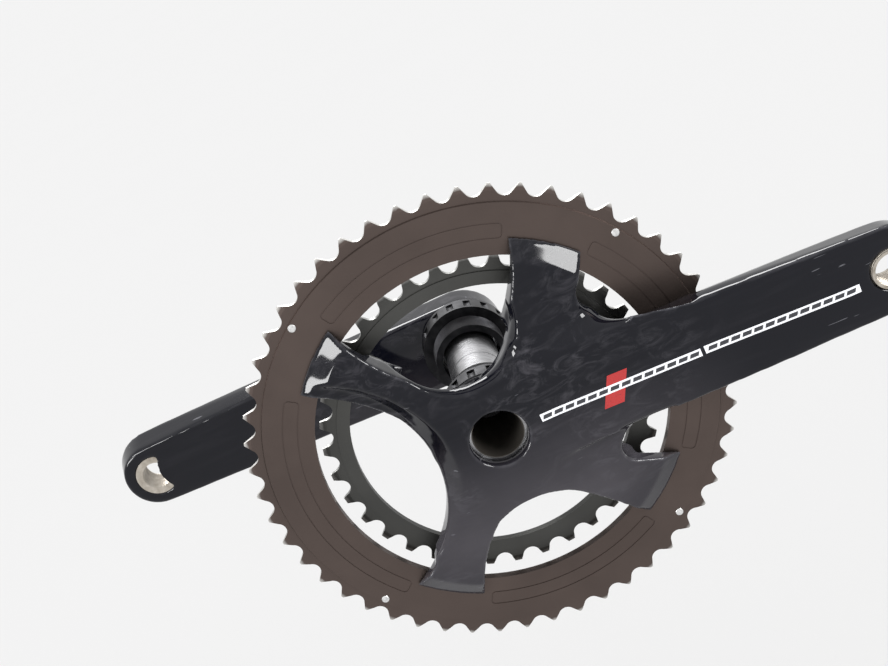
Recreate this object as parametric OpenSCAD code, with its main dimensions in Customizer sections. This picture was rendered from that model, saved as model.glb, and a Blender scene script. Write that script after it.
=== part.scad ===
// Bicycle crankset: two crank arms on a two-piece axle, two chainrings on a four-arm spider,
// and the cups and ball bearings that hold the axle in a bottom-bracket shell.
// Millimetres. The origin is the middle of the axle. +X runs along the right arm,
// +Y points to the bicycle's left and +Z is up, so the chainrings face -Y.
// "Out" below means the distance from the origin towards either side of the bicycle.

/* [Crank arms] */
// Distance from the crank axis to each pedal axis
arm_length = 172.5; // [165:2.5:175]
// Out distance of the face that the pedal seats on
pedal_face_out = 72.75; // [71:0.25:75]
// Thickness of the arm at the pedal eye
eye_thickness = 14.75; // [13:0.25:16]
// Radius of the pedal eye at its outer face
eye_front_r = 19.5; // [18:0.5:21]
// Radius of the pedal eye at its inner face
eye_rear_r = 16.5; // [15:0.5:17]
// Height of the arm's edge above and below the axis
arm_half_width = 20.5; // [19:0.5:21]

/* [Spider] */
// Out distance of the hub's outer face
hub_face_out = 63.1; // [62:0.1:64]
// Radius of the hub
hub_r = 29.7; // [28:0.1:30]
// Radius of the spider arms' tips
spider_tip_r = 84.6; // [84:0.1:86]
// Half the width of a spider arm at its neck
spider_neck = 9.8; // [9:0.1:11]
// Half the width of a spider arm at its tip
spider_tip_half = 16.9; // [16:0.1:18]
// Radius of the hole in the hub's outer face
hub_bore_r = 12.4; // [11:0.1:12.6]

/* [Chainrings] */
// Teeth on the outer chainring
outer_teeth = 52; // [52, 53]
// Teeth on the inner chainring
inner_teeth = 36; // [36, 38]
// Out distance of the outer chainring's middle plane
outer_ring_out = 47; // [46.8:0.1:47.2]
// Gap between the middle planes of the two chainrings
ring_gap = 7; // [6.8:0.1:7.2]
// Radius of the outer chainring's bolt circle
outer_bolt_circle_r = 72.5; // [72:0.1:73]
// Radius of the inner chainring's bolt circle
inner_bolt_circle_r = 56; // [55.5:0.1:56.5]
// Radius of the circle of shift rivets
rivet_circle_r = 96.9; // [95:0.1:97]

/* [Bottom bracket] */
// Width of the shell that the cups screw into
shell_width = 68; // [68:0.1:68.4]
// Outer radius of the cup threads
cup_thread_r = 17.4; // [17.2:0.05:17.5]
// Length of the cup threads
cup_thread_length = 12; // [10:0.5:14]
// Outer radius of the cup flanges
cup_flange_r = 22; // [21.8:0.1:22.4]
// Balls in each bearing
ball_count = 17; // [13:1:19]

/* [Pedal threads] */
// Radius of the pedal thread
pedal_thread_r = 7.15; // [7.1:0.05:7.2]

/* [Hidden] */

chain_pitch = 12.7;
roller_seat_r = 3.98;
outer_tooth_height = 1.2;
inner_tooth_height = 1.5;
tooth_thickness = 2;
tooth_tip_thickness = 1;
// Half the gap between teeth: at its foot on each side, then at the tips on each side
outer_gap = [[-3, -2.6], [-5.9, 1], [5.9, 1], [3, -2.6]];
inner_gap = [[-3.85, -1], [-4.8, 1], [4.8, 1], [3.85, -1]];
outer_teeth_turn = 1.65;
inner_teeth_turn = 0.5;
outer_ring_thickness = 3.6;
inner_ring_thickness = 3.2;
outer_ring_bore_r = 76.5;
outer_ring_body_r = 98.6;
inner_ring_bore_r = 61.5;
inner_ring_body_r = 67.2;
inner_ring_out = outer_ring_out - ring_gap;
outer_ring_front = outer_ring_out + outer_ring_thickness / 2;
outer_ring_rear = outer_ring_out - outer_ring_thickness / 2;
inner_ring_front = inner_ring_out + inner_ring_thickness / 2;
inner_ring_rear = inner_ring_out - inner_ring_thickness / 2;

// Directions of the four spider arms, turned up from the right crank arm
spider_angles = [52, 131.8, 232.2, 312.8];
rivet_angles = [35.4, 125.4, 215.4, 305.4];
guard_pin_at = 95;
// Edge angles of the shallow grooves between the spider arms
groove_spans = [[64.2, 119.4], [144.8, 219.9], [245, 299.9], [324.4, 399.8]];
groove_inner_r = 83.5;
groove_outer_r = 90.3;
groove_width = 0.6;
groove_depth = 0.25;
groove_corner_r = 1.9;

hub_rear_out = 46;
side_scoop_r = 78;
side_scoop_at = 52;
tip_crease_r = 75.3;
tip_crease_out = 56;
tip_edge_out = 50;
seat_gap = 0.02;
pad_inner_r = 46;
pad_outer_r = 64.5;
bolt_shank_r = 3.85;
bolt_hole_r = 3.9;
bolt_head_r = 5.5;
bolt_head_h = 2.4;
bolt_socket_r = 2.5;
ear_half_width = 7.2;

// Stations along the right arm: x, upper edge, lower edge, with the inner face narrower
root_x = 62;
waist_x = 97;
root_top = 30;
waist_top = 22.4;
face_flat_end = 28;
rear_at_root = 50.2;
rear_inset = 3.5;
arm_side_depth = 7;
face_slope = (pedal_face_out - hub_face_out) / (arm_length - face_flat_end);
eye_rear_out = pedal_face_out - eye_thickness;
rear_slope = (eye_rear_out - rear_at_root) / (arm_length - root_x);

insert_r = 8.5;
insert_flange_r = 10.5;
insert_flange_h = 1.5;

shell_face_out = shell_width / 2;
axle_r = 12.5;
axle_collar_r = 14.2;
axle_root_r = 15;
axle_root_in = 44.4;
axle_root_end = 57;
axle_bore_r = 11;
bolt_seat_out = 15.5;
fixing_bolt_r = 5.98;
fixing_bolt_head_r = 8.7;
fixing_bolt_head_h = 8;
fixing_bolt_end = -15;
washer_h = 1.5;
hex_key_size = 10;
coupling_teeth = 18;
coupling_tooth_angle = 9.6;
coupling_height = 2.5;

bearing_in = shell_face_out + 2.4;
bearing_width = 6;
bearing_out = bearing_in + bearing_width;
bearing_mid = bearing_in + bearing_width / 2;
outer_race_r = 18.5;
outer_race_bore_r = 16.7;
inner_race_r = 14.3;
ball_circle_r = 15.5;
ball_r = 1.72;
raceway_r = 1.78;
fit_gap = 0.01;
cup_end_out = 44.8;
cup_bore_r = 14.2;
clip_out = 43.25;
clip_wire_r = 0.8;
clip_r = 22.1;
clip_span = 300;
clip_ends = [120, 120 + clip_span];
clip_pin_r = 0.7;

function pitch_r(teeth) = chain_pitch / (2 * sin(180 / teeth));
function face_out(x) = hub_face_out + max(0, x - face_flat_end) * face_slope;
function rear_out(x) = rear_at_root + (x - root_x) * rear_slope;

$fn = 96;

// ---- helpers ----

// Extrudes an XZ outline from one out distance to another, on the chainring side
module outboard(from, to)
    translate([0, -from, 0]) rotate([90, 0, 0]) linear_extrude(to - from) children();

// Spins a profile of [radius, out] points about the crank axis
module turned() rotate([90, 0, 0]) rotate_extrude() children();

// Places a chainring-side shape on the other side of the bicycle
module other_side() rotate([0, 0, 180]) children();

module ring_outline(inner_r, outer_r) difference() {
    circle(outer_r);
    circle(inner_r);
}

// Pie slice that reaches past the chainrings; spans stay under 180 degrees
module sector(from, to) {
    reach = 160;
    middle = (from + to) / 2;
    polygon([[0, 0], [reach * cos(from), reach * sin(from)],
        [reach * 1.5 * cos(middle), reach * 1.5 * sin(middle)], [reach * cos(to), reach * sin(to)]]);
}

// ---- right crank arm and spider ----

// One spider arm along +X; each side is [half width at the neck, radius of its scoop]
module spider_arm_outline(left, right) difference() {
    translate([0, -spider_tip_half - 1]) square([spider_tip_r + 1, 2 * spider_tip_half + 2]);
    translate([side_scoop_at, left[0] + left[1]]) circle(left[1], $fn = 360);
    translate([side_scoop_at, -right[0] - right[1]]) circle(right[1], $fn = 360);
}

// Gap between the upper front spider arm and the crank arm
module upper_notch() {
    translate([62.6, 39]) circle(9);
    polygon([[54.1, 42], [62.9, 54.3], [75, 72], [120, 60], [120, 12],
        [97, 17], [78, 19], [70.5, 26], [62.6, 30]]);
}

// Gap between the lower front spider arm and the crank arm
module lower_notch() {
    translate([52.5, -33.2]) circle(7.9);
    polygon([[48.8, -40.2], [58.8, -45.3], [68.2, -49.8], [85, -57], [120, -50], [120, -14],
        [78, -16], [62, -20], [52.5, -25.3]]);
}

// Open window between the two upper spider arms
module upper_window() translate([1.5, 53.3]) circle(25.5, $fn = 180);

// Filled corners between the hub and the arms
module hub_webs() {
    polygon([[0, 0], [64, 55], [85, 40], [85, 0]]);
    polygon([[0, 0], [85, 0], [85, -40], [68.4, -50], [30, -47]]);
    polygon([[0, 0], [23.3, 42.7], [0, 44], [-20, 38]]);
    difference() {
        polygon([[0, 0], [-50, 44], [-50, -46]]);
        translate([-84.3, -1]) circle(55, $fn = 180);
    }
    difference() {
        polygon([[0, 0], [-24.3, -44.4], [25.2, -44.9]]);
        translate([0, -66]) circle(32, $fn = 180);
    }
}

module spider_outline() intersection() {
    circle(spider_tip_r, $fn = 180);
    difference() {
        slim = [spider_neck, side_scoop_r];
        union() {
            circle(hub_r);
            rotate(spider_angles[0]) spider_arm_outline(slim, [15.6, 300]);
            rotate(spider_angles[1]) spider_arm_outline(slim, slim);
            rotate(spider_angles[2]) spider_arm_outline(slim, slim);
            rotate(spider_angles[3]) spider_arm_outline([15, 300], [13.2, 155]);
            hub_webs();
        }
        upper_notch();
        lower_notch();
        upper_window();
    }
}

// Front surface of the spider: flat hub, gently falling arms and bevelled tips
module spider_envelope() turned()
    polygon([[0, 40], [0, hub_face_out], [24, hub_face_out], [hub_r, 62.2],
        [tip_crease_r, tip_crease_out], [spider_tip_r, tip_edge_out],
        [spider_tip_r, outer_ring_front + seat_gap], [spider_tip_r, 40]]);

// Pads that the inner chainring bolts against
module inner_ring_pads() for (a = spider_angles)
    outboard(inner_ring_front + seat_gap, outer_ring_front + 2) intersection() {
        ring_outline(pad_inner_r, pad_outer_r);
        rotate(a) translate([40, -spider_neck + 1]) square([30, 2 * spider_neck - 2]);
    }

// Wide bevel on the side of the hub away from the crank arm
module hub_bevel() translate([-84.8, -53, 3.5]) rotate([90, 0, 0])
    cylinder(h = 12, r1 = 55, r2 = 66.4, $fn = 180);

// Soft shoulder round the upper window
module upper_window_bevel() translate([1.5, -54.5, 53.3]) rotate([90, 0, 0])
    cylinder(h = 10, r1 = 25.5, r2 = 29.5, $fn = 180);

module spider_body() difference() {
    union() {
        intersection() {
            spider_envelope();
            union() {
                outboard(outer_ring_front + seat_gap, hub_face_out + 1) spider_outline();
                outboard(hub_rear_out, outer_ring_front + 1) intersection() {
                    spider_outline();
                    circle(pad_outer_r);
                }
            }
        }
        inner_ring_pads();
    }
    hub_bevel();
    upper_window_bevel();
}

// Thin slab across the arm: outer face wide, inner face narrower
module arm_slab(x, top, bottom) translate([x, 0, 0]) rotate([90, 0, 90]) linear_extrude(0.4)
    polygon([[-face_out(x), top], [-face_out(x), bottom], [arm_side_depth - face_out(x), bottom],
        [-rear_out(x), bottom + rear_inset], [-rear_out(x), top - rear_inset],
        [arm_side_depth - face_out(x), top]]);

module pedal_eye() translate([arm_length, -eye_rear_out, 0]) rotate([90, 0, 0])
    cylinder(h = eye_thickness, r1 = eye_rear_r, r2 = eye_front_r, $fn = 64);

module right_beam() {
    outboard(hub_rear_out + 3, hub_face_out) polygon([[-4, -21.6], [face_flat_end, -arm_half_width],
        [face_flat_end, 27], [10, 25.5], [-6, 20]]);
    hull() {
        arm_slab(face_flat_end - 0.4, 27, -arm_half_width);
        arm_slab(root_x, root_top, -arm_half_width);
    }
    hull() {
        arm_slab(root_x, root_top, -arm_half_width);
        arm_slab(waist_x, waist_top, -arm_half_width);
    }
    hull() {
        arm_slab(waist_x, waist_top, -arm_half_width);
        pedal_eye();
    }
}

// Hole for the pedal insert, with a seat for its flange
module insert_bore() translate([arm_length, 0, 0]) turned()
    polygon([[0, eye_rear_out - 1], [insert_flange_r + fit_gap, eye_rear_out - 1],
        [insert_flange_r + fit_gap, eye_rear_out + insert_flange_h],
        [insert_r + fit_gap, eye_rear_out + insert_flange_h],
        [insert_r + fit_gap, pedal_face_out + 1], [0, pedal_face_out + 1]]);

// Blind hole that a half axle is bonded into
module axle_socket() outboard(hub_rear_out - 6, axle_root_end + fit_gap) circle(axle_root_r + fit_gap);

// Hole through the hub's outer face, where the hex key goes in
module hub_bore() outboard(axle_root_end - 1, hub_face_out + 2) circle(hub_bore_r);

module blind_bolt_holes(circle_r, from, to) for (a = spider_angles)
    outboard(from, to) rotate(a) translate([circle_r, 0]) circle(bolt_hole_r, $fn = 48);

module right_crank_arm() color([0.16, 0.17, 0.21]) difference() {
    union() {
        spider_body();
        right_beam();
    }
    axle_socket();
    hub_bore();
    insert_bore();
    blind_bolt_holes(outer_bolt_circle_r, outer_ring_front - 1, outer_ring_front + 4.8);
    blind_bolt_holes(inner_bolt_circle_r, inner_ring_front - 1, inner_ring_front + 6.6);
}

// ---- left crank arm ----

module left_beam() hull() {
    outboard(hub_rear_out + 1, hub_face_out) circle(arm_half_width, $fn = 64);
    arm_slab(waist_x, arm_half_width - 0.5, -arm_half_width + 0.5);
    pedal_eye();
}

module left_crank_arm() color([0.16, 0.17, 0.21]) other_side() difference() {
    union() {
        left_beam();
        outboard(hub_rear_out, hub_rear_out + 3) circle(19);
    }
    axle_socket();
    insert_bore();
}

// ---- pedal inserts ----

module pedal_insert() translate([arm_length, 0, 0]) turned()
    polygon([[pedal_thread_r, eye_rear_out], [insert_flange_r, eye_rear_out],
        [insert_flange_r, eye_rear_out + insert_flange_h], [insert_r, eye_rear_out + insert_flange_h],
        [insert_r, pedal_face_out], [pedal_thread_r, pedal_face_out]]);

module right_pedal_insert() color([0.72, 0.7, 0.66]) pedal_insert();

module left_pedal_insert() color([0.72, 0.7, 0.66]) other_side() pedal_insert();

// ---- half axles, joined in the middle by a ring of face teeth ----

module half_axle(bolt_hole_radius, web_end) {
    turned() polygon([[bolt_hole_radius, coupling_height / 2], [axle_r, coupling_height / 2],
        [axle_r, bearing_out + 0.2], [axle_collar_r, bearing_out + 0.2],
        [axle_collar_r, axle_root_in], [axle_root_r, axle_root_in],
        [axle_root_r, axle_root_end], [axle_bore_r, axle_root_end],
        [axle_bore_r, web_end], [bolt_hole_radius, web_end]]);
}

// Face teeth across the middle plane, turned by the given angle
module coupling_ring(turn) outboard(-coupling_height / 2 + 0.05, coupling_height / 2)
    intersection() {
        ring_outline(8.2, axle_r - 0.1);
        union() for (i = [0 : coupling_teeth - 1]) {
            a = turn + i * 360 / coupling_teeth;
            sector(a - coupling_tooth_angle / 2, a + coupling_tooth_angle / 2);
        }
    }

module right_half_axle() color([0.55, 0.56, 0.58]) {
    half_axle(6.6, bolt_seat_out);
    coupling_ring(0);
}

module left_half_axle() color([0.55, 0.56, 0.58]) other_side() {
    half_axle(fixing_bolt_r + fit_gap, 18);
    coupling_ring(180 / coupling_teeth);
}

module fixing_bolt() color([0.3, 0.31, 0.33]) difference() {
    head_in = bolt_seat_out + washer_h;
    turned() polygon([[0, fixing_bolt_end], [fixing_bolt_r - 0.8, fixing_bolt_end],
        [fixing_bolt_r, fixing_bolt_end + 0.8], [fixing_bolt_r, head_in],
        [fixing_bolt_head_r, head_in], [fixing_bolt_head_r, head_in + fixing_bolt_head_h - 0.6],
        [fixing_bolt_head_r - 0.6, head_in + fixing_bolt_head_h], [0, head_in + fixing_bolt_head_h]]);
    outboard(head_in + 2, head_in + fixing_bolt_head_h + 1)
        circle(hex_key_size / (2 * cos(30)), $fn = 6);
}

module fixing_bolt_washer() color([0.7, 0.7, 0.72])
    outboard(bolt_seat_out, bolt_seat_out + washer_h) ring_outline(6.7, 9.2);

// ---- chainrings ----

// Space for one chain roller, at the top of the ring; the gap's far side reaches past the tips
module roller_gap(teeth, gap) translate([0, pitch_r(teeth)]) {
    rise = 2;
    circle(roller_seat_r, $fn = 32);
    polygon([gap[0], gap[1], gap[1] + [-0.4, rise], gap[2] + [0.4, rise], gap[2], gap[3]]);
}

// Plate with teeth whose faces are bevelled towards their tips
module toothed_plate(teeth, tooth_height, gap, turn, inner_r, middle_out) intersection() {
    half = tooth_thickness / 2;
    tip_half = tooth_tip_thickness / 2;
    outer_r = pitch_r(teeth) + tooth_height;
    bevel_r = outer_r - 3;
    outboard(middle_out - half, middle_out + half) difference() {
        circle(outer_r, $fn = 180);
        circle(inner_r, $fn = 180);
        for (i = [0 : teeth - 1]) rotate(turn + i * 360 / teeth) roller_gap(teeth, gap);
    }
    turned() polygon([[inner_r - 1, middle_out - half], [bevel_r, middle_out - half],
        [outer_r, middle_out - tip_half], [outer_r, middle_out + tip_half],
        [bevel_r, middle_out + half], [inner_r - 1, middle_out + half]]);
}

// Tabs that carry the bolt holes, one behind each spider arm
module ears(circle_r, outer_r, half_width) for (a = spider_angles) rotate(a) {
    translate([circle_r, 0]) circle(half_width);
    translate([circle_r, -half_width]) square([outer_r - circle_r, 2 * half_width]);
}

module bolt_circle(circle_r) for (a = spider_angles) rotate(a)
    translate([circle_r, 0]) circle(bolt_hole_r, $fn = 48);

// Points along an arc about a centre, both ends included
function arc(centre, r, from, to, steps) = [for (i = [0 : steps])
    let (a = from + (to - from) * i / steps) centre + r * [cos(a), sin(a)]];

// Part of a ring between two angles with rounded corners, drawn in from the groove's outer edge
module rounded_band(span, inset) {
    low = groove_inner_r + inset;
    high = groove_outer_r - inset;
    corner = groove_corner_r - inset;
    low_turn = asin(corner / (low + corner));
    high_turn = asin(corner / (high - corner));
    from = span[0] + inset / high * 180 / PI;
    to = span[1] - inset / high * 180 / PI;
    low_from = (low + corner) * [cos(from + low_turn), sin(from + low_turn)];
    low_to = (low + corner) * [cos(to - low_turn), sin(to - low_turn)];
    high_from = (high - corner) * [cos(from + high_turn), sin(from + high_turn)];
    high_to = (high - corner) * [cos(to - high_turn), sin(to - high_turn)];
    polygon(concat(
        arc(high_from, corner, from - 90, from + high_turn, 4),
        arc([0, 0], high, from + high_turn + 1, to - high_turn - 1, 18),
        arc(high_to, corner, to - high_turn, to + 90, 4),
        arc(low_to, corner, to + 90, to - low_turn + 180, 4),
        arc([0, 0], low, to - low_turn - 1, from + low_turn + 1, 18),
        arc(low_from, corner, from + low_turn + 180, from + 270, 4)));
}

module groove_outline(span) difference() {
    rounded_band(span, 0);
    rounded_band(span, groove_width);
}

module outer_chainring() color([0.36, 0.33, 0.31]) difference() {
    union() {
        toothed_plate(outer_teeth, outer_tooth_height, outer_gap, outer_teeth_turn,
            outer_ring_bore_r + 10, outer_ring_out);
        turned() polygon([[outer_ring_bore_r, outer_ring_rear], [outer_ring_body_r, outer_ring_rear],
            [outer_ring_body_r + 0.4, outer_ring_out - tooth_thickness / 2],
            [outer_ring_body_r + 0.4, outer_ring_out + tooth_thickness / 2],
            [outer_ring_body_r, outer_ring_front], [outer_ring_bore_r, outer_ring_front]]);
        outboard(outer_ring_rear, outer_ring_front)
            ears(outer_bolt_circle_r, outer_ring_bore_r + 3, ear_half_width);
    }
    outboard(outer_ring_rear - 1, outer_ring_front + 1) {
        bolt_circle(outer_bolt_circle_r);
        for (a = rivet_angles) rotate(a) translate([rivet_circle_r, 0]) circle(1.42, $fn = 32);
        translate([guard_pin_at, 0]) circle(1.62, $fn = 32);
    }
    outboard(outer_ring_front - groove_depth, outer_ring_front + 1)
        for (span = groove_spans) groove_outline(span);
}

module inner_chainring() color([0.3, 0.3, 0.3]) difference() {
    union() {
        toothed_plate(inner_teeth, inner_tooth_height, inner_gap, inner_teeth_turn,
            inner_ring_bore_r + 2, inner_ring_out);
        outboard(inner_ring_rear, inner_ring_front) {
            ring_outline(inner_ring_bore_r, inner_ring_body_r);
            ears(inner_bolt_circle_r, inner_ring_bore_r + 3, ear_half_width);
        }
    }
    outboard(inner_ring_rear - 1, inner_ring_front + 1) bolt_circle(inner_bolt_circle_r);
}

// Six-lobed socket of a chainring bolt
module lobed_socket() {
    circle(bolt_socket_r, $fn = 24);
    for (i = [0 : 5]) rotate(i * 60) translate([bolt_socket_r, 0]) circle(0.5, $fn = 16);
}

// Bolts put in from behind: low round head, shank reaching into the spider
module ring_bolts(circle_r, ring_rear, reach) for (a = spider_angles) difference() {
    union() {
        outboard(ring_rear - bolt_head_h, ring_rear) rotate(a) translate([circle_r, 0])
            circle(bolt_head_r, $fn = 48);
        outboard(ring_rear, ring_rear + reach) rotate(a) translate([circle_r, 0])
            circle(bolt_shank_r, $fn = 48);
    }
    outboard(ring_rear - bolt_head_h - 1, ring_rear) rotate(a) translate([circle_r, 0]) lobed_socket();
}

module outer_chainring_bolts() color([0.2, 0.2, 0.21])
    ring_bolts(outer_bolt_circle_r, outer_ring_rear, 8);

module inner_chainring_bolts() color([0.2, 0.2, 0.21])
    ring_bolts(inner_bolt_circle_r, inner_ring_rear, 9);

// One rivet: small head in front, wide step behind that lifts the chain
module shift_rivet() turned() polygon([[0, outer_ring_rear - 1.5], [2.1, outer_ring_rear - 1.5],
    [2.6, outer_ring_rear - 1], [2.6, outer_ring_rear], [1.4, outer_ring_rear],
    [1.4, outer_ring_front], [1.75, outer_ring_front], [1.55, outer_ring_front + 0.25],
    [0.9, outer_ring_front + 0.38], [0, outer_ring_front + 0.4]]);

module shift_rivets() color([0.85, 0.85, 0.84]) for (a = rivet_angles)
    rotate([0, -a, 0]) translate([rivet_circle_r, 0, 0]) shift_rivet();

// Post between the outer chainring and the crank arm that keeps a dropped chain out
module chain_guard_pin() color([0.6, 0.6, 0.6]) translate([guard_pin_at, 0, 0]) turned()
    polygon([[0, outer_ring_rear - 0.4], [2.2, outer_ring_rear - 0.4], [2.2, outer_ring_rear],
        [1.6, outer_ring_rear], [1.6, outer_ring_front], [2.6, outer_ring_front],
        [2.6, outer_ring_front + 2.8], [2.2, outer_ring_front + 3.2], [0, outer_ring_front + 3.2]]);

// ---- bottom-bracket cups ----

// seat: out distance of the shoulder that the bearing or its washer rests on
module cup(seat) difference() {
    turned() polygon([[cup_bore_r, shell_face_out - cup_thread_length],
        [cup_thread_r, shell_face_out - cup_thread_length], [cup_thread_r, shell_face_out],
        [cup_flange_r, shell_face_out], [cup_flange_r, cup_end_out - 0.5],
        [cup_flange_r - 0.5, cup_end_out], [outer_race_r + fit_gap, cup_end_out],
        [outer_race_r + fit_gap, seat], [cup_bore_r, seat]]);
    outboard(shell_face_out + 1.6, cup_end_out - 2.6)
        for (i = [0 : 15]) rotate(i * 22.5) translate([cup_flange_r + 1.2, 0]) circle(2.2, $fn = 32);
}

module clip_groove() rotate([90, 0, 0]) translate([0, 0, clip_out])
    rotate_extrude() translate([clip_r, 0]) circle(clip_wire_r + 0.1, $fn = 32);

module clip_pin_holes() for (a = clip_ends) rotate([0, -a, 0])
    translate([outer_race_r - 1, -clip_out, 0]) rotate([0, 90, 0])
        cylinder(h = 5, r = clip_pin_r + 0.1, $fn = 32);

module right_cup() color([0.13, 0.13, 0.14]) difference() {
    cup(bearing_in - seat_gap);
    clip_groove();
    clip_pin_holes();
}

module left_cup() color([0.13, 0.13, 0.14]) other_side() cup(bearing_in - 1.2);

// C-shaped wire clip whose two ends pass through the cup and stop the bearing
module bearing_retaining_clip() color([0.75, 0.76, 0.78]) {
    rotate([90, 0, 0]) translate([0, 0, clip_out]) rotate([0, 0, clip_ends[0]])
        rotate_extrude(angle = clip_span) translate([clip_r, 0]) circle(clip_wire_r, $fn = 32);
    for (a = clip_ends) rotate([0, -a, 0]) translate([0, -clip_out, 0]) {
        translate([clip_r, 0, 0]) sphere(clip_wire_r + 0.02, $fn = 32);
        translate([17.3, 0, 0]) rotate([0, 90, 0]) cylinder(h = clip_r - 17.3, r = clip_pin_r, $fn = 32);
    }
}

// Spring ring with three waves that takes up the play of the left bearing
module wave_washer() color([0.75, 0.76, 0.78]) other_side() {
    steps = 72;
    thickness = 0.4;
    middle = bearing_in - 0.6;
    rise = 0.34;
    rim = [[15, 0], [18.3, 0], [18.3, thickness], [15, thickness]];
    points = [for (i = [0 : steps - 1]) for (p = rim)
        [p[0] * cos(i * 360 / steps),
            -(middle - thickness / 2 + rise * sin(3 * i * 360 / steps) + p[1]),
            p[0] * sin(i * 360 / steps)]];
    sides = [for (i = [0 : steps - 1]) for (k = [0 : 3])
        [4 * i + k, 4 * i + (k + 1) % 4, 4 * ((i + 1) % steps) + (k + 1) % 4, 4 * ((i + 1) % steps) + k]];
    polyhedron(points, sides);
}

// ---- ball bearings ----

module raceway() rotate([90, 0, 0]) translate([0, 0, bearing_mid])
    rotate_extrude() translate([ball_circle_r, 0]) circle(raceway_r, $fn = 48);

module outer_race() difference() {
    outboard(bearing_in, bearing_out) ring_outline(outer_race_bore_r, outer_race_r);
    raceway();
}

module inner_race() difference() {
    outboard(bearing_in, bearing_out) ring_outline(axle_r + fit_gap, inner_race_r);
    raceway();
}

module each_ball(radius) for (i = [0 : ball_count - 1]) rotate([0, -i * 360 / ball_count, 0])
    translate([ball_circle_r, -bearing_mid, 0]) sphere(radius, $fn = 48);

module ball_cage() difference() {
    outboard(bearing_mid + 0.7, bearing_mid + 2.1) ring_outline(14.8, 16.2);
    each_ball(ball_r + 0.1);
}

module bearing_shields() {
    outboard(bearing_in + 0.1, bearing_in + 0.6) ring_outline(14.6, outer_race_bore_r - fit_gap);
    outboard(bearing_out - 0.6, bearing_out - 0.1) ring_outline(14.6, outer_race_bore_r - fit_gap);
}

module lip_seal() turned() polygon([[17, bearing_out + seat_gap], [17, bearing_out + 0.9],
    [14.8, bearing_out + 1.7], [14.6, bearing_out + 1.2], [15.9, bearing_out + 0.5],
    [15.9, bearing_out + seat_gap]]);

module right_outer_race() color([0.78, 0.79, 0.8]) outer_race();
module left_outer_race() color([0.78, 0.79, 0.8]) other_side() outer_race();
module right_inner_race() color([0.78, 0.79, 0.8]) inner_race();
module left_inner_race() color([0.78, 0.79, 0.8]) other_side() inner_race();
module right_balls() color([0.9, 0.9, 0.88]) each_ball(ball_r);
module left_balls() color([0.9, 0.9, 0.88]) other_side() each_ball(ball_r);
module right_ball_cage() color([0.75, 0.6, 0.35]) ball_cage();
module left_ball_cage() color([0.75, 0.6, 0.35]) other_side() ball_cage();
module right_bearing_shields() color([0.1, 0.1, 0.1]) bearing_shields();
module left_bearing_shields() color([0.1, 0.1, 0.1]) other_side() bearing_shields();
module right_lip_seal() color([0.1, 0.1, 0.1]) lip_seal();
module left_lip_seal() color([0.1, 0.1, 0.1]) other_side() lip_seal();

right_crank_arm();
left_crank_arm();
right_half_axle();
left_half_axle();
fixing_bolt();
fixing_bolt_washer();
right_pedal_insert();
left_pedal_insert();
outer_chainring();
inner_chainring();
outer_chainring_bolts();
inner_chainring_bolts();
shift_rivets();
chain_guard_pin();
right_cup();
left_cup();
right_outer_race();
left_outer_race();
right_inner_race();
left_inner_race();
right_balls();
left_balls();
right_ball_cage();
left_ball_cage();
right_bearing_shields();
left_bearing_shields();
right_lip_seal();
left_lip_seal();
bearing_retaining_clip();
wave_washer();
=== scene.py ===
import math

import bpy
from mathutils import Matrix, Vector


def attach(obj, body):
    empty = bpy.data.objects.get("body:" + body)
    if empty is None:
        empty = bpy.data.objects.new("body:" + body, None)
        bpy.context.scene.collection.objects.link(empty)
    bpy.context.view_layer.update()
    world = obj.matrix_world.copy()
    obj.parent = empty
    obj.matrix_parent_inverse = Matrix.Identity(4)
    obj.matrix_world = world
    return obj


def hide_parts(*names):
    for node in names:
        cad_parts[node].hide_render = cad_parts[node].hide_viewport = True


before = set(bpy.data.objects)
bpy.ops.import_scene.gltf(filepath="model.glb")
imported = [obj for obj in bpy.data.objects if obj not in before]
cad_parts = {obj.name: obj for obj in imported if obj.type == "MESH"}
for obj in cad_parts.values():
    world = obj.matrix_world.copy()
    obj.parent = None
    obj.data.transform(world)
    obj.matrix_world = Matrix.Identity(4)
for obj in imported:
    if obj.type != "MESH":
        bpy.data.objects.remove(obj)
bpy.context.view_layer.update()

# Lengths and places are in metres. X runs along the right arm to its pedal, Y from the right arm
# to the left one, and Z up.

# Chainrings, axle and threads. A thread's end is its distance from the middle plane.
OUTER_TOOTH_TIP = 0.1064
INNER_TOOTH_TIP = 0.0744
TOOTH_WEAR = 0.0012
TOOTH_DEPTH = 0.0056
AXLE_BORE = 0.0110
CUP_THREAD_END = 0.0339
CUP_PITCH = 0.001058
PEDAL_THREAD_END = 0.0722
PEDAL_PITCH = 0.00127

# Outer face of the right arm: flat at the hub, then sloping outwards to the pedal
HUB_FACE = -0.0631
FACE_FLAT_END = 0.028
FACE_SLOPE = -0.0668

# Upper notch, at each station: place along the arm, height of the floor, and its drop at the rear.
# The cut starts a gap in front of the face and skims the floor there.
NOTCH_FLOOR = [(0.0577, 0.0315, 0.001), (0.0612, 0.0301, 0.008), (0.0700, 0.0283, 0.011),
               (0.0970, 0.0224, 0.003)]
NOTCH_REAR = -0.0470
NOTCH_CUT_HEIGHT = 0.006
NOTCH_SKIM = 0.0002
FACE_GAP = 0.0005

# Upper window between the spider arms: X, Z and radius, and how far its rear edge moves
UPPER_WINDOW = (0.0015, 0.0533, 0.0256)
WINDOW_CUT_MIDDLE = -0.05225
WINDOW_CUT_DEPTH = 0.0165
UNDERCUT_SHIFT = 0.005
UNDERCUT_DROP = 0.006

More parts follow.
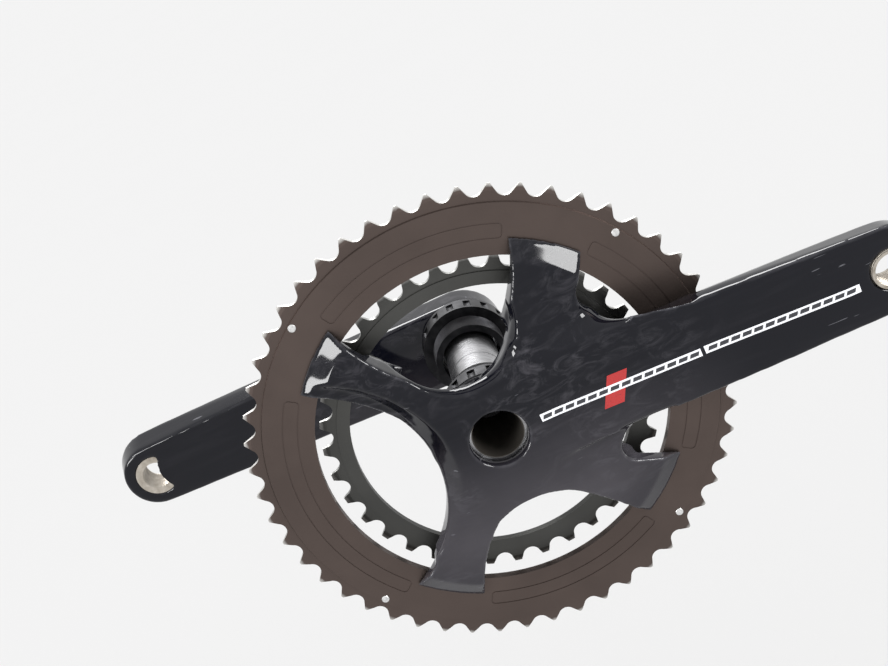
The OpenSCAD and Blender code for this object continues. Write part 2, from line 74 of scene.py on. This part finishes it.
# Rounding of the moulded arms. Each soft line has a start, an end, a reach and its smoothing passes.
VOXEL = 0.0008
SMOOTHING_PASSES = 18
SOFT_LINES = [((0.024, -0.062, 0.027), (0.060, -0.062, 0.029), 0.010, 200),
              ((0.056, -0.061, -0.022), (0.064, -0.061, -0.021), 0.010, 60)]

# Paint on the right arm. A patch starts in front of the arm and is laid on its face, each colour
# lifted a little more than the one under it. The arm is drawn in to make room for it.
PAINT_ROOM = 0.0002
PAINT_THICKNESS = 0.00005
PAINT_STEP = 0.0015
IN_FRONT = -0.08
STRIPE_SLOPE = -0.0195
STRIPE_HEIGHT = 0.0036
DASH_WIDTH = 0.0038
DASH_HEIGHT = 0.0018
DASH_LEAN = 0.46
RED_LIFT = 0.00004
WHITE_LIFT = 0.00010
BLACK_LIFT = 0.00016

# Studio. A softbox has a name, a place, a width, a height and a power in watts.
FLOOR_HEIGHT = -0.42
FLOOR_SIZE = 60
AIR_AT_HORIZON = 0.90
AIR_OVERHEAD = 1.18
SOFTBOXES = [("softbox_right", (1.02, -0.66, 0.46), 0.50, 0.45, 16),
             ("softbox_left_low", (-1.00, -0.72, 0.28), 0.45, 0.20, 7),
             ("softbox_left_high", (-0.82, -0.78, 0.62), 0.45, 0.20, 7),
             ("softbox_top", (0.1, 1.3, 1.5), 1.4, 0.8, 60)]
CAMERA_PLACE = (0.0330, -0.5487, 0.2613)
CAMERA_RIGHT = (0.9018, -0.1147, -0.4167)
CAMERA_BACK = (0.0638, -0.9182, 0.3908)
LENS = 53.57
SENSOR_WIDTH = 36


# ---- mesh helpers ----

def select_only(piece):
    bpy.ops.object.select_all(action="DESELECT")
    piece.select_set(True)
    bpy.context.view_layer.objects.active = piece


def copy_of_node(node, name):
    """A copy of a CAD node with its own mesh, its loose triangles merged."""
    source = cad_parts[node]
    piece = bpy.data.objects.new(name, source.data.copy())
    bpy.context.scene.collection.objects.link(piece)
    select_only(piece)
    bpy.ops.object.mode_set(mode="EDIT")
    bpy.ops.mesh.select_all(action="SELECT")
    bpy.ops.mesh.remove_doubles(threshold=0.000002)
    bpy.ops.object.mode_set(mode="OBJECT")
    return piece


def apply_modifier(piece, kind, **settings):
    select_only(piece)
    modifier = piece.modifiers.new(kind.lower(), kind)
    for key, value in settings.items():
        setattr(modifier, key, value)
    bpy.ops.object.modifier_apply(modifier=modifier.name)


def finish_piece(piece, material, body, slot, *nodes):
    piece.data.materials.clear()
    piece.data.materials.append(material)
    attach(piece, body)
    if nodes:
        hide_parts(*nodes)


# ---- material helpers ----

class Finish:
    """A material's shader and the nodes that feed it."""

    def __init__(self, name, color, roughness, metallic=0.0):
        self.material = bpy.data.materials.new(name)
        self.material.use_nodes = True
        self.tree = self.material.node_tree
        self.shader = self.tree.nodes["Principled BSDF"]
        self.shader.inputs["Base Color"].default_value = (*color, 1)
        self.shader.inputs["Roughness"].default_value = roughness
        self.shader.inputs["Metallic"].default_value = metallic
        self.place = self.tree.nodes.new("ShaderNodeTexCoord").outputs["Object"]

    def set(self, socket, value):
        self.shader.inputs[socket].default_value = value

    def node(self, kind, inputs, **settings):
        node = self.tree.nodes.new(kind)
        for key, value in settings.items():
            setattr(node, key, value)
        for key, value in inputs.items():
            if isinstance(value, bpy.types.NodeSocket):
                self.tree.links.new(value, node.inputs[key])
            else:
                node.inputs[key].default_value = value
        return node

    def math(self, operation, first, second=0.0):
        return self.node("ShaderNodeMath", {0: first, 1: second}, operation=operation).outputs[0]

    def mapped(self, scale=(1, 1, 1), turn=(0, 0, 0)):
        return self.node("ShaderNodeMapping",
                         {"Vector": self.place, "Scale": scale, "Rotation": turn}).outputs[0]

    def noise(self, vector, scale, detail=3.0, distortion=0.0, roughness=0.5):
        return self.node("ShaderNodeTexNoise",
                         {"Vector": vector, "Scale": scale, "Detail": detail, "Distortion": distortion,
                          "Roughness": roughness}).outputs["Fac"]

    def ramp(self, value, low, high):
        """0 below low, 1 above high."""
        return self.node("ShaderNodeMapRange", {"Value": value, "From Min": low, "From Max": high}).outputs[0]

    def mix(self, share, first, second):
        node = self.tree.nodes.new("ShaderNodeMix")
        node.data_type = "RGBA"
        for key, value in ((0, share), (6, first), (7, second)):
            if isinstance(value, bpy.types.NodeSocket):
                self.tree.links.new(value, node.inputs[key])
            elif key == 0:
                node.inputs[key].default_value = value
            else:
                node.inputs[key].default_value = (*value, 1)
        return node.outputs[2]

    def radius(self):
        """Distance from the crank axis."""
        parts = self.node("ShaderNodeSeparateXYZ", {0: self.place}).outputs
        flat = self.node("ShaderNodeCombineXYZ", {0: parts[0], 2: parts[2]}).outputs[0]
        return self.node("ShaderNodeVectorMath", {0: flat}, operation="LENGTH").outputs["Value"]

    def feed(self, socket, value):
        self.tree.links.new(value, self.shader.inputs[socket])

    def bump(self, height, distance):
        node = self.node("ShaderNodeBump", {"Height": height, "Distance": distance, "Strength": 1.0})
        self.feed("Normal", node.outputs[0])


# ---- materials ----

def lacquered_carbon():
    """Navy-black carbon under clear lacquer: marbled fibre, drawn streaks, scuffs, worn edges that are partly
    painted edge highlights, and a painted pale sheen low down near the hub.
    """
    f = Finish("lacquered_carbon", (0.0015, 0.0018, 0.0045), 0.5)
    height = f.node("ShaderNodeSeparateXYZ", {0: f.place}).outputs[2]
    near_hub = f.ramp(f.radius(), 0.110, 0.050)
    swirl = f.ramp(f.noise(f.mapped(scale=(0.7, 0.5, 1.5), turn=(0, 0.5, 0)), 95, 8, 1.5, 0.68), 0.48, 0.80)
    patches = f.math("MULTIPLY", f.ramp(f.noise(f.place, 32, 3), 0.40, 0.62), near_hub)
    streaks = f.ramp(f.noise(f.mapped(scale=(0.06, 1, 1), turn=(0, -0.02, 0)), 260, 4, 0.3), 0.50, 0.74)
    fibre = f.math("ADD", f.math("MULTIPLY", swirl, patches), f.math("MULTIPLY", streaks, 0.05))
    # Painted light: a pale, cloudy sheen is painted on the carbon towards the bottom near the hub.
    low = f.math("MULTIPLY", f.ramp(height, 0.008, -0.045), near_hub)
    painted_low_sheen = f.math("MULTIPLY", low, f.math("ADD", 0.5, f.math("MULTIPLY", f.noise(f.place, 40, 5), 0.8)))
    clear = f.mix(painted_low_sheen, (0.0015, 0.0017, 0.0040), (0.040, 0.037, 0.043))
    blue = f.mix(fibre, clear, (0.052, 0.050, 0.058))
    edge = f.node("ShaderNodeNewGeometry", {}).outputs["Pointiness"]
    # Convex edges are lightened in patches: partly wear, partly a painted highlight along the edges.
    rubbed_and_lit_edges = f.math("MULTIPLY", f.ramp(edge, 0.515, 0.56), f.ramp(f.noise(f.place, 65, 4), 0.38, 0.66))
    scratch = f.ramp(f.noise(f.mapped(scale=(0.25, 1, 3.2), turn=(0, 0.9, 0)), 190, 2, 0.1), 0.735, 0.75)
    # Scratches, and the lightened edges that are partly a painted highlight.
    scratches_and_lit_edges = f.math("MAXIMUM", f.math("MULTIPLY", rubbed_and_lit_edges, 0.4), f.math("MULTIPLY", scratch, 0.4))
    f.feed("Base Color", f.mix(scratches_and_lit_edges, blue, (0.17, 0.17, 0.19)))
    f.feed("Roughness", f.math("ADD", 0.42, f.math("MULTIPLY", swirl, 0.2)))
    f.set("Specular IOR Level", 0.0)
    f.set("Coat Weight", 1.0)
    f.set("Coat Roughness", 0.06)
    f.set("Coat IOR", 1.36)
    f.bump(f.math("ADD", f.noise(f.place, 45, 2), f.math("MULTIPLY", scratches_and_lit_edges, -0.3)), 0.00005)
    return f.material


def anodised(name, dark, light, worn, tooth_tip):
    """Satin anodised ring with faint turning lines, bare at the tooth tips and on the tooth flanks."""
    f = Finish(name, light, 0.42, 1.0)
    radius = f.radius()
    lines = f.node("ShaderNodeTexNoise", {"W": radius, "Scale": 5200, "Detail": 2.0},
                   noise_dimensions="1D").outputs["Fac"]
    cloud = f.noise(f.place, 30, 4)
    share = f.math("ADD", f.math("MULTIPLY", lines, 0.22), f.math("MULTIPLY", cloud, 0.78))
    base = f.mix(f.ramp(share, 0.35, 0.65), dark, light)
    spots = f.math("MULTIPLY", f.noise(f.place, 520, 3), TOOTH_WEAR)
    tips = f.ramp(f.math("ADD", radius, spots), tooth_tip - TOOTH_WEAR, tooth_tip + TOOTH_WEAR * 0.4)
    facing = f.node("ShaderNodeSeparateXYZ",
                    {0: f.node("ShaderNodeNewGeometry", {}).outputs["Normal"]}).outputs[1]
    flank = f.ramp(f.math("ABSOLUTE", facing), 0.45, 0.25)
    teeth = f.ramp(radius, tooth_tip - TOOTH_DEPTH, tooth_tip - TOOTH_DEPTH + 0.0003)
    bare = f.math("MAXIMUM", tips, f.math("MULTIPLY", flank, teeth))
    f.feed("Base Color", f.mix(bare, base, worn))
    f.feed("Roughness", f.math("ADD", 0.40, f.math("MULTIPLY", lines, 0.06)))
    f.bump(lines, 0.000004)
    return f.material


def axle_metal():
    """Ground steel tube, darker and duller inside the bore."""
    f = Finish("axle_steel", (0.45, 0.45, 0.46), 0.3, 1.0)
    cloud = f.noise(f.mapped(scale=(1, 6, 1)), 260, 4, 0.4)
    steel = f.mix(f.ramp(cloud, 0.3, 0.7), (0.28, 0.28, 0.29), (0.45, 0.45, 0.46))
    # The inside of the bore is coloured darker and brownish, and made rougher.
    inside = f.ramp(f.radius(), AXLE_BORE + 0.0006, AXLE_BORE + 0.0002)
    f.feed("Base Color", f.mix(inside, steel, (0.11, 0.10, 0.088)))
    f.feed("Roughness", f.math("ADD", 0.26, f.math("MULTIPLY", inside, 0.35)))
    f.bump(f.noise(f.place, 1500, 2), 0.000008)
    return f.material


def bare_metal(name, dark, light, roughness, grain=300):
    """Metal with uneven colour, small stains and a fine surface grain."""
    f = Finish(name, light, roughness, 1.0)
    cloud = f.noise(f.place, grain, 4, 0.4)
    f.feed("Base Color", f.mix(f.ramp(cloud, 0.3, 0.7), dark, light))
    f.feed("Roughness", f.math("ADD", roughness - 0.06, f.math("MULTIPLY", cloud, 0.14)))
    f.bump(f.noise(f.place, grain * 6, 2), 0.00001)
    return f.material


def threaded_metal(name, dark, light, roughness, pitch, end):
    """Metal with a thread of the given pitch along Y, up to a given distance from the middle."""
    f = Finish(name, light, roughness, 1.0)
    out = f.node("ShaderNodeSeparateXYZ", {0: f.place}).outputs[1]
    cloud = f.noise(f.place, 260, 4, 0.4)
    f.feed("Base Color", f.mix(f.ramp(cloud, 0.3, 0.7), dark, light))
    f.feed("Roughness", f.math("ADD", roughness - 0.05, f.math("MULTIPLY", cloud, 0.12)))
    ridges = f.math("PINGPONG", out, pitch / 2)
    barrel = f.math("LESS_THAN", f.math("ABSOLUTE", out), end)
    f.bump(f.math("MULTIPLY", f.math("MULTIPLY", ridges, 1.6), barrel), 1.0)
    return f.material


def rubber(name, color):
    f = Finish(name, color, 0.6)
    grain = f.noise(f.place, 900, 3)
    f.feed("Roughness", f.math("ADD", 0.5, f.math("MULTIPLY", grain, 0.25)))
    f.bump(grain, 0.00003)
    return f.material


def paint(name, color):
    """Printed paint with slight unevenness and worn, darker spots, under lacquer."""
    f = Finish(name, color, 0.4)
    rub = f.ramp(f.noise(f.place, 700, 4), 0.62, 0.75)
    dark = tuple(0.55 * c for c in color)
    f.feed("Base Color", f.mix(rub, color, dark))
    f.set("Coat Weight", 0.6)
    f.set("Coat Roughness", 0.08)
    return f.material


def studio_grey():
    f = Finish("studio_floor", (0.83, 0.83, 0.835), 0.9)
    f.set("Specular IOR Level", 0.0)
    grain = f.noise(f.place, 3, 2)
    f.feed("Base Color", f.mix(grain, (0.826, 0.827, 0.829), (0.834, 0.835, 0.837)))
    return f.material


# ---- carbon arms ----

def soften(piece, start, end, reach, repeat):
    """Blends the surfaces that meet along a line, as the mould does."""
    select_only(piece)
    bpy.ops.object.mode_set(mode="EDIT")
    bpy.ops.mesh.select_mode(type="VERT")
    bpy.ops.mesh.select_all(action="DESELECT")
    bpy.ops.object.mode_set(mode="OBJECT")
    line = Vector(end) - Vector(start)
    for v in piece.data.vertices:
        share = max(0.0, min(1.0, (v.co - Vector(start)).dot(line) / line.length_squared))
        v.select = (v.co - Vector(start) - share * line).length < reach
    bpy.ops.object.mode_set(mode="EDIT")
    bpy.ops.mesh.vertices_smooth(factor=0.5, repeat=repeat)
    bpy.ops.object.mode_set(mode="OBJECT")


def undercut_window(piece):
    """Widens the upper window towards the rear, downwards and away from the pedal."""
    x, z, radius = UPPER_WINDOW
    bpy.ops.object.select_all(action="DESELECT")
    bpy.ops.mesh.primitive_cylinder_add(vertices=128, radius=radius, depth=WINDOW_CUT_DEPTH,
                                        location=(x, WINDOW_CUT_MIDDLE, z), rotation=(math.pi / 2, 0, 0))
    cutter = bpy.context.object
    bpy.ops.object.transform_apply(location=True, rotation=True, scale=True)
    for v in cutter.data.vertices:
        if v.co.y > WINDOW_CUT_MIDDLE:
            v.co.x -= UNDERCUT_SHIFT
            v.co.z -= UNDERCUT_DROP
    cut_away(piece, cutter)


def cut_away(piece, cutter):
    apply_modifier(piece, "BOOLEAN", object=cutter, operation="DIFFERENCE", solver="EXACT")
    bpy.data.objects.remove(cutter)


def slope_notch_floor(piece):
    """Slopes the floor of the upper notch and the arm's upper side down towards the rear."""
    for inner, outer in zip(NOTCH_FLOOR, NOTCH_FLOOR[1:]):
        bpy.ops.object.select_all(action="DESELECT")
        bpy.ops.mesh.primitive_cube_add(size=1)
        cutter = bpy.context.object
        for v in cutter.data.vertices:
            x, floor, drop = outer if v.co.x > 0 else inner
            rear = v.co.y > 0
            below = floor - (drop if rear else NOTCH_SKIM)
            y = NOTCH_REAR if rear else HUB_FACE + (x - FACE_FLAT_END) * FACE_SLOPE - FACE_GAP
            v.co = (x, y, floor + NOTCH_CUT_HEIGHT if v.co.z > 0 else below)
        cut_away(piece, cutter)


def smooth_arm(node, name, material, spider=False):
    """A moulded arm: the CAD shape with soft, rounded edges."""
    piece = copy_of_node(node, name)
    if spider:
        slope_notch_floor(piece)
        undercut_window(piece)
    apply_modifier(piece, "REMESH", mode="VOXEL", voxel_size=VOXEL)
    apply_modifier(piece, "SMOOTH", factor=0.5, iterations=SMOOTHING_PASSES)
    if spider:
        for start, end, reach, repeat in SOFT_LINES:
            soften(piece, start, end, reach, repeat)
    apply_modifier(piece, "DISPLACE", strength=-PAINT_ROOM, mid_level=0.0)
    bpy.ops.object.shade_smooth()
    finish_piece(piece, material, "crank", "carbon_arm", node)
    return piece


# ---- paint on the right arm ----

def painted_patch(name, material, arm, middle, width, height, lift, lean=0.0, repeat=1, pitch=0.0):
    """A slanted patch of paint laid on the arm's face, or a row of them along the stripe."""
    bpy.ops.object.select_all(action="DESELECT")
    bpy.ops.mesh.primitive_grid_add(x_subdivisions=max(2, round(width / PAINT_STEP)), y_subdivisions=3,
                                    size=1)
    piece = bpy.context.object
    piece.name = name
    for v in piece.data.vertices:
        along = v.co.x * width
        up = v.co.y * height
        v.co = (middle[0] + along + lean * up, IN_FRONT, middle[1] + up + STRIPE_SLOPE * along)
    if repeat > 1:
        apply_modifier(piece, "ARRAY", count=repeat, use_relative_offset=False, use_constant_offset=True,
                       constant_offset_displace=(pitch, 0, STRIPE_SLOPE * pitch))
    apply_modifier(piece, "SHRINKWRAP", target=arm, wrap_method="PROJECT", use_project_y=True,
                   use_negative_direction=False, use_positive_direction=True,
                   wrap_mode="ABOVE_SURFACE", offset=lift)
    apply_modifier(piece, "SOLIDIFY", thickness=PAINT_THICKNESS, offset=0.0)
    finish_piece(piece, material, "crank", "carbon_arm")


def arm_stripe(arm, white, black, red):
    """Two white bars in line with dark slanted dashes, over a red block."""
    painted_patch("arm_accent", red, arm, (0.0523, -0.0004), 0.0088, 0.0140, RED_LIFT, DASH_LEAN)
    painted_patch("arm_stripe_inner", white, arm, (0.0547, 0.0003), 0.0710, STRIPE_HEIGHT, WHITE_LIFT)
    painted_patch("arm_stripe_outer", white, arm, (0.1249, -0.0008), 0.0662, STRIPE_HEIGHT, WHITE_LIFT)
    painted_patch("inner_dashes", black, arm, (0.0222, 0.0009), DASH_WIDTH, DASH_HEIGHT, BLACK_LIFT,
                  DASH_LEAN, repeat=14, pitch=0.0050)
    painted_patch("outer_dashes", black, arm, (0.0953, -0.0002), DASH_WIDTH, DASH_HEIGHT, BLACK_LIFT,
                  DASH_LEAN, repeat=13, pitch=0.0049)


# ---- studio ----

def add_floor():
    bpy.ops.object.select_all(action="DESELECT")
    bpy.ops.mesh.primitive_plane_add(size=FLOOR_SIZE, location=(0, 0, FLOOR_HEIGHT))
    floor = bpy.context.object
    floor.name = "studio_floor"
    floor.data.materials.append(studio_grey())
    return floor


def without(floor):
    """A list of what a lamp lights: everything but the floor, so the floor stays even."""
    lit = bpy.data.collections.new("lit_by_softboxes")
    lit.objects.link(floor)
    lit.collection_objects[0].light_linking.link_state = "EXCLUDE"
    return lit


def add_softbox(name, lit, place, width, height, power):
    light = bpy.data.lights.new(name, "AREA")
    light.shape = "RECTANGLE"
    light.size = width
    light.size_y = height
    light.energy = power
    box = bpy.data.objects.new(name, light)
    bpy.context.scene.collection.objects.link(box)
    box.location = place
    box.rotation_euler = (-Vector(place)).to_track_quat("-Z", "Y").to_euler()
    box.visible_camera = False
    box.light_linking.receiver_collection = lit


def add_world():
    """Pale air that brightens from the horizon upwards."""
    world = bpy.data.worlds.new("studio_air")
    world.use_nodes = True
    tree = world.node_tree
    background = tree.nodes["Background"]
    background.inputs["Color"].default_value = (1.0, 0.998, 0.996, 1)
    way = tree.nodes.new("ShaderNodeTexCoord")
    split = tree.nodes.new("ShaderNodeSeparateXYZ")
    rise = tree.nodes.new("ShaderNodeMapRange")
    rise.inputs["To Min"].default_value = AIR_AT_HORIZON
    rise.inputs["To Max"].default_value = AIR_OVERHEAD
    tree.links.new(way.outputs["Generated"], split.inputs[0])
    tree.links.new(split.outputs["Z"], rise.inputs["Value"])
    tree.links.new(rise.outputs[0], background.inputs["Strength"])
    bpy.context.scene.world = world


def add_camera():
    data = bpy.data.cameras.new("camera")
    data.lens = LENS
    data.sensor_width = SENSOR_WIDTH
    data.clip_start = 0.01
    camera = bpy.data.objects.new("camera", data)
    bpy.context.scene.collection.objects.link(camera)
    right = Vector(CAMERA_RIGHT).normalized()
    back = Vector(CAMERA_BACK).normalized()
    up = back.cross(right).normalized()
    right = up.cross(back)
    turn = Matrix((right, up, back)).transposed().to_4x4()
    camera.matrix_world = Matrix.Translation(CAMERA_PLACE) @ turn
    bpy.context.scene.camera = camera


def add_studio():
    lit = without(add_floor())
    add_world()
    add_camera()
    for name, place, width, height, power in SOFTBOXES:
        add_softbox(name, lit, place, width, height, power)


def paint_nodes(material, *nodes):
    for node in nodes:
        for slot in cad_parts[node].material_slots:
            slot.material = material


def both(name):
    return "right_" + name, "left_" + name


def main():
    carbon = lacquered_carbon()
    outer = anodised("brown_anodised", (0.088, 0.069, 0.062), (0.108, 0.084, 0.075), (0.55, 0.54, 0.52),
                     OUTER_TOOTH_TIP)
    inner = anodised("grey_anodised", (0.066, 0.066, 0.063), (0.082, 0.082, 0.078), (0.34, 0.34, 0.33),
                     INNER_TOOTH_TIP)
    rivet = bare_metal("rivet_metal", (0.60, 0.60, 0.60), (0.86, 0.86, 0.85), 0.28, 900)
    insert = threaded_metal("insert_bronze", (0.34, 0.30, 0.25), (0.56, 0.52, 0.46), 0.34, PEDAL_PITCH,
                            PEDAL_THREAD_END)
    axle = axle_metal()
    dark = bare_metal("blackened_steel", (0.03, 0.03, 0.032), (0.07, 0.07, 0.075), 0.42, 500)
    bright = bare_metal("ground_steel", (0.55, 0.56, 0.57), (0.72, 0.73, 0.74), 0.16, 500)
    cup = threaded_metal("black_cup", (0.020, 0.020, 0.022), (0.045, 0.045, 0.048), 0.38, CUP_PITCH,
                         CUP_THREAD_END)
    brass = bare_metal("cage_brass", (0.45, 0.33, 0.14), (0.62, 0.48, 0.24), 0.32, 700)
    seal = rubber("seal_rubber", (0.012, 0.012, 0.012))
    white = paint("white_paint", (0.64, 0.65, 0.68))
    black = paint("black_paint", (0.010, 0.011, 0.016))
    red = paint("red_paint", (0.30, 0.006, 0.006))

    paint_nodes(outer, "outer_chainring")
    paint_nodes(inner, "inner_chainring")
    paint_nodes(rivet, "shift_rivets", "chain_guard_pin")
    paint_nodes(insert, *both("pedal_insert"))
    paint_nodes(axle, *both("half_axle"))
    paint_nodes(dark, "fixing_bolt", "outer_chainring_bolts", "inner_chainring_bolts")
    paint_nodes(bright, "fixing_bolt_washer", "bearing_retaining_clip", "wave_washer",
                *both("outer_race"), *both("inner_race"), *both("balls"))
    paint_nodes(cup, *both("cup"))
    paint_nodes(brass, *both("ball_cage"))
    paint_nodes(seal, *both("bearing_shields"), *both("lip_seal"))

    right_arm = smooth_arm("right_crank_arm", "right_moulded_arm", carbon, spider=True)
    smooth_arm("left_crank_arm", "left_moulded_arm", carbon)
    arm_stripe(right_arm, white, black, red)
    add_studio()
    bpy.context.scene.view_settings.view_transform = "Standard"


main()
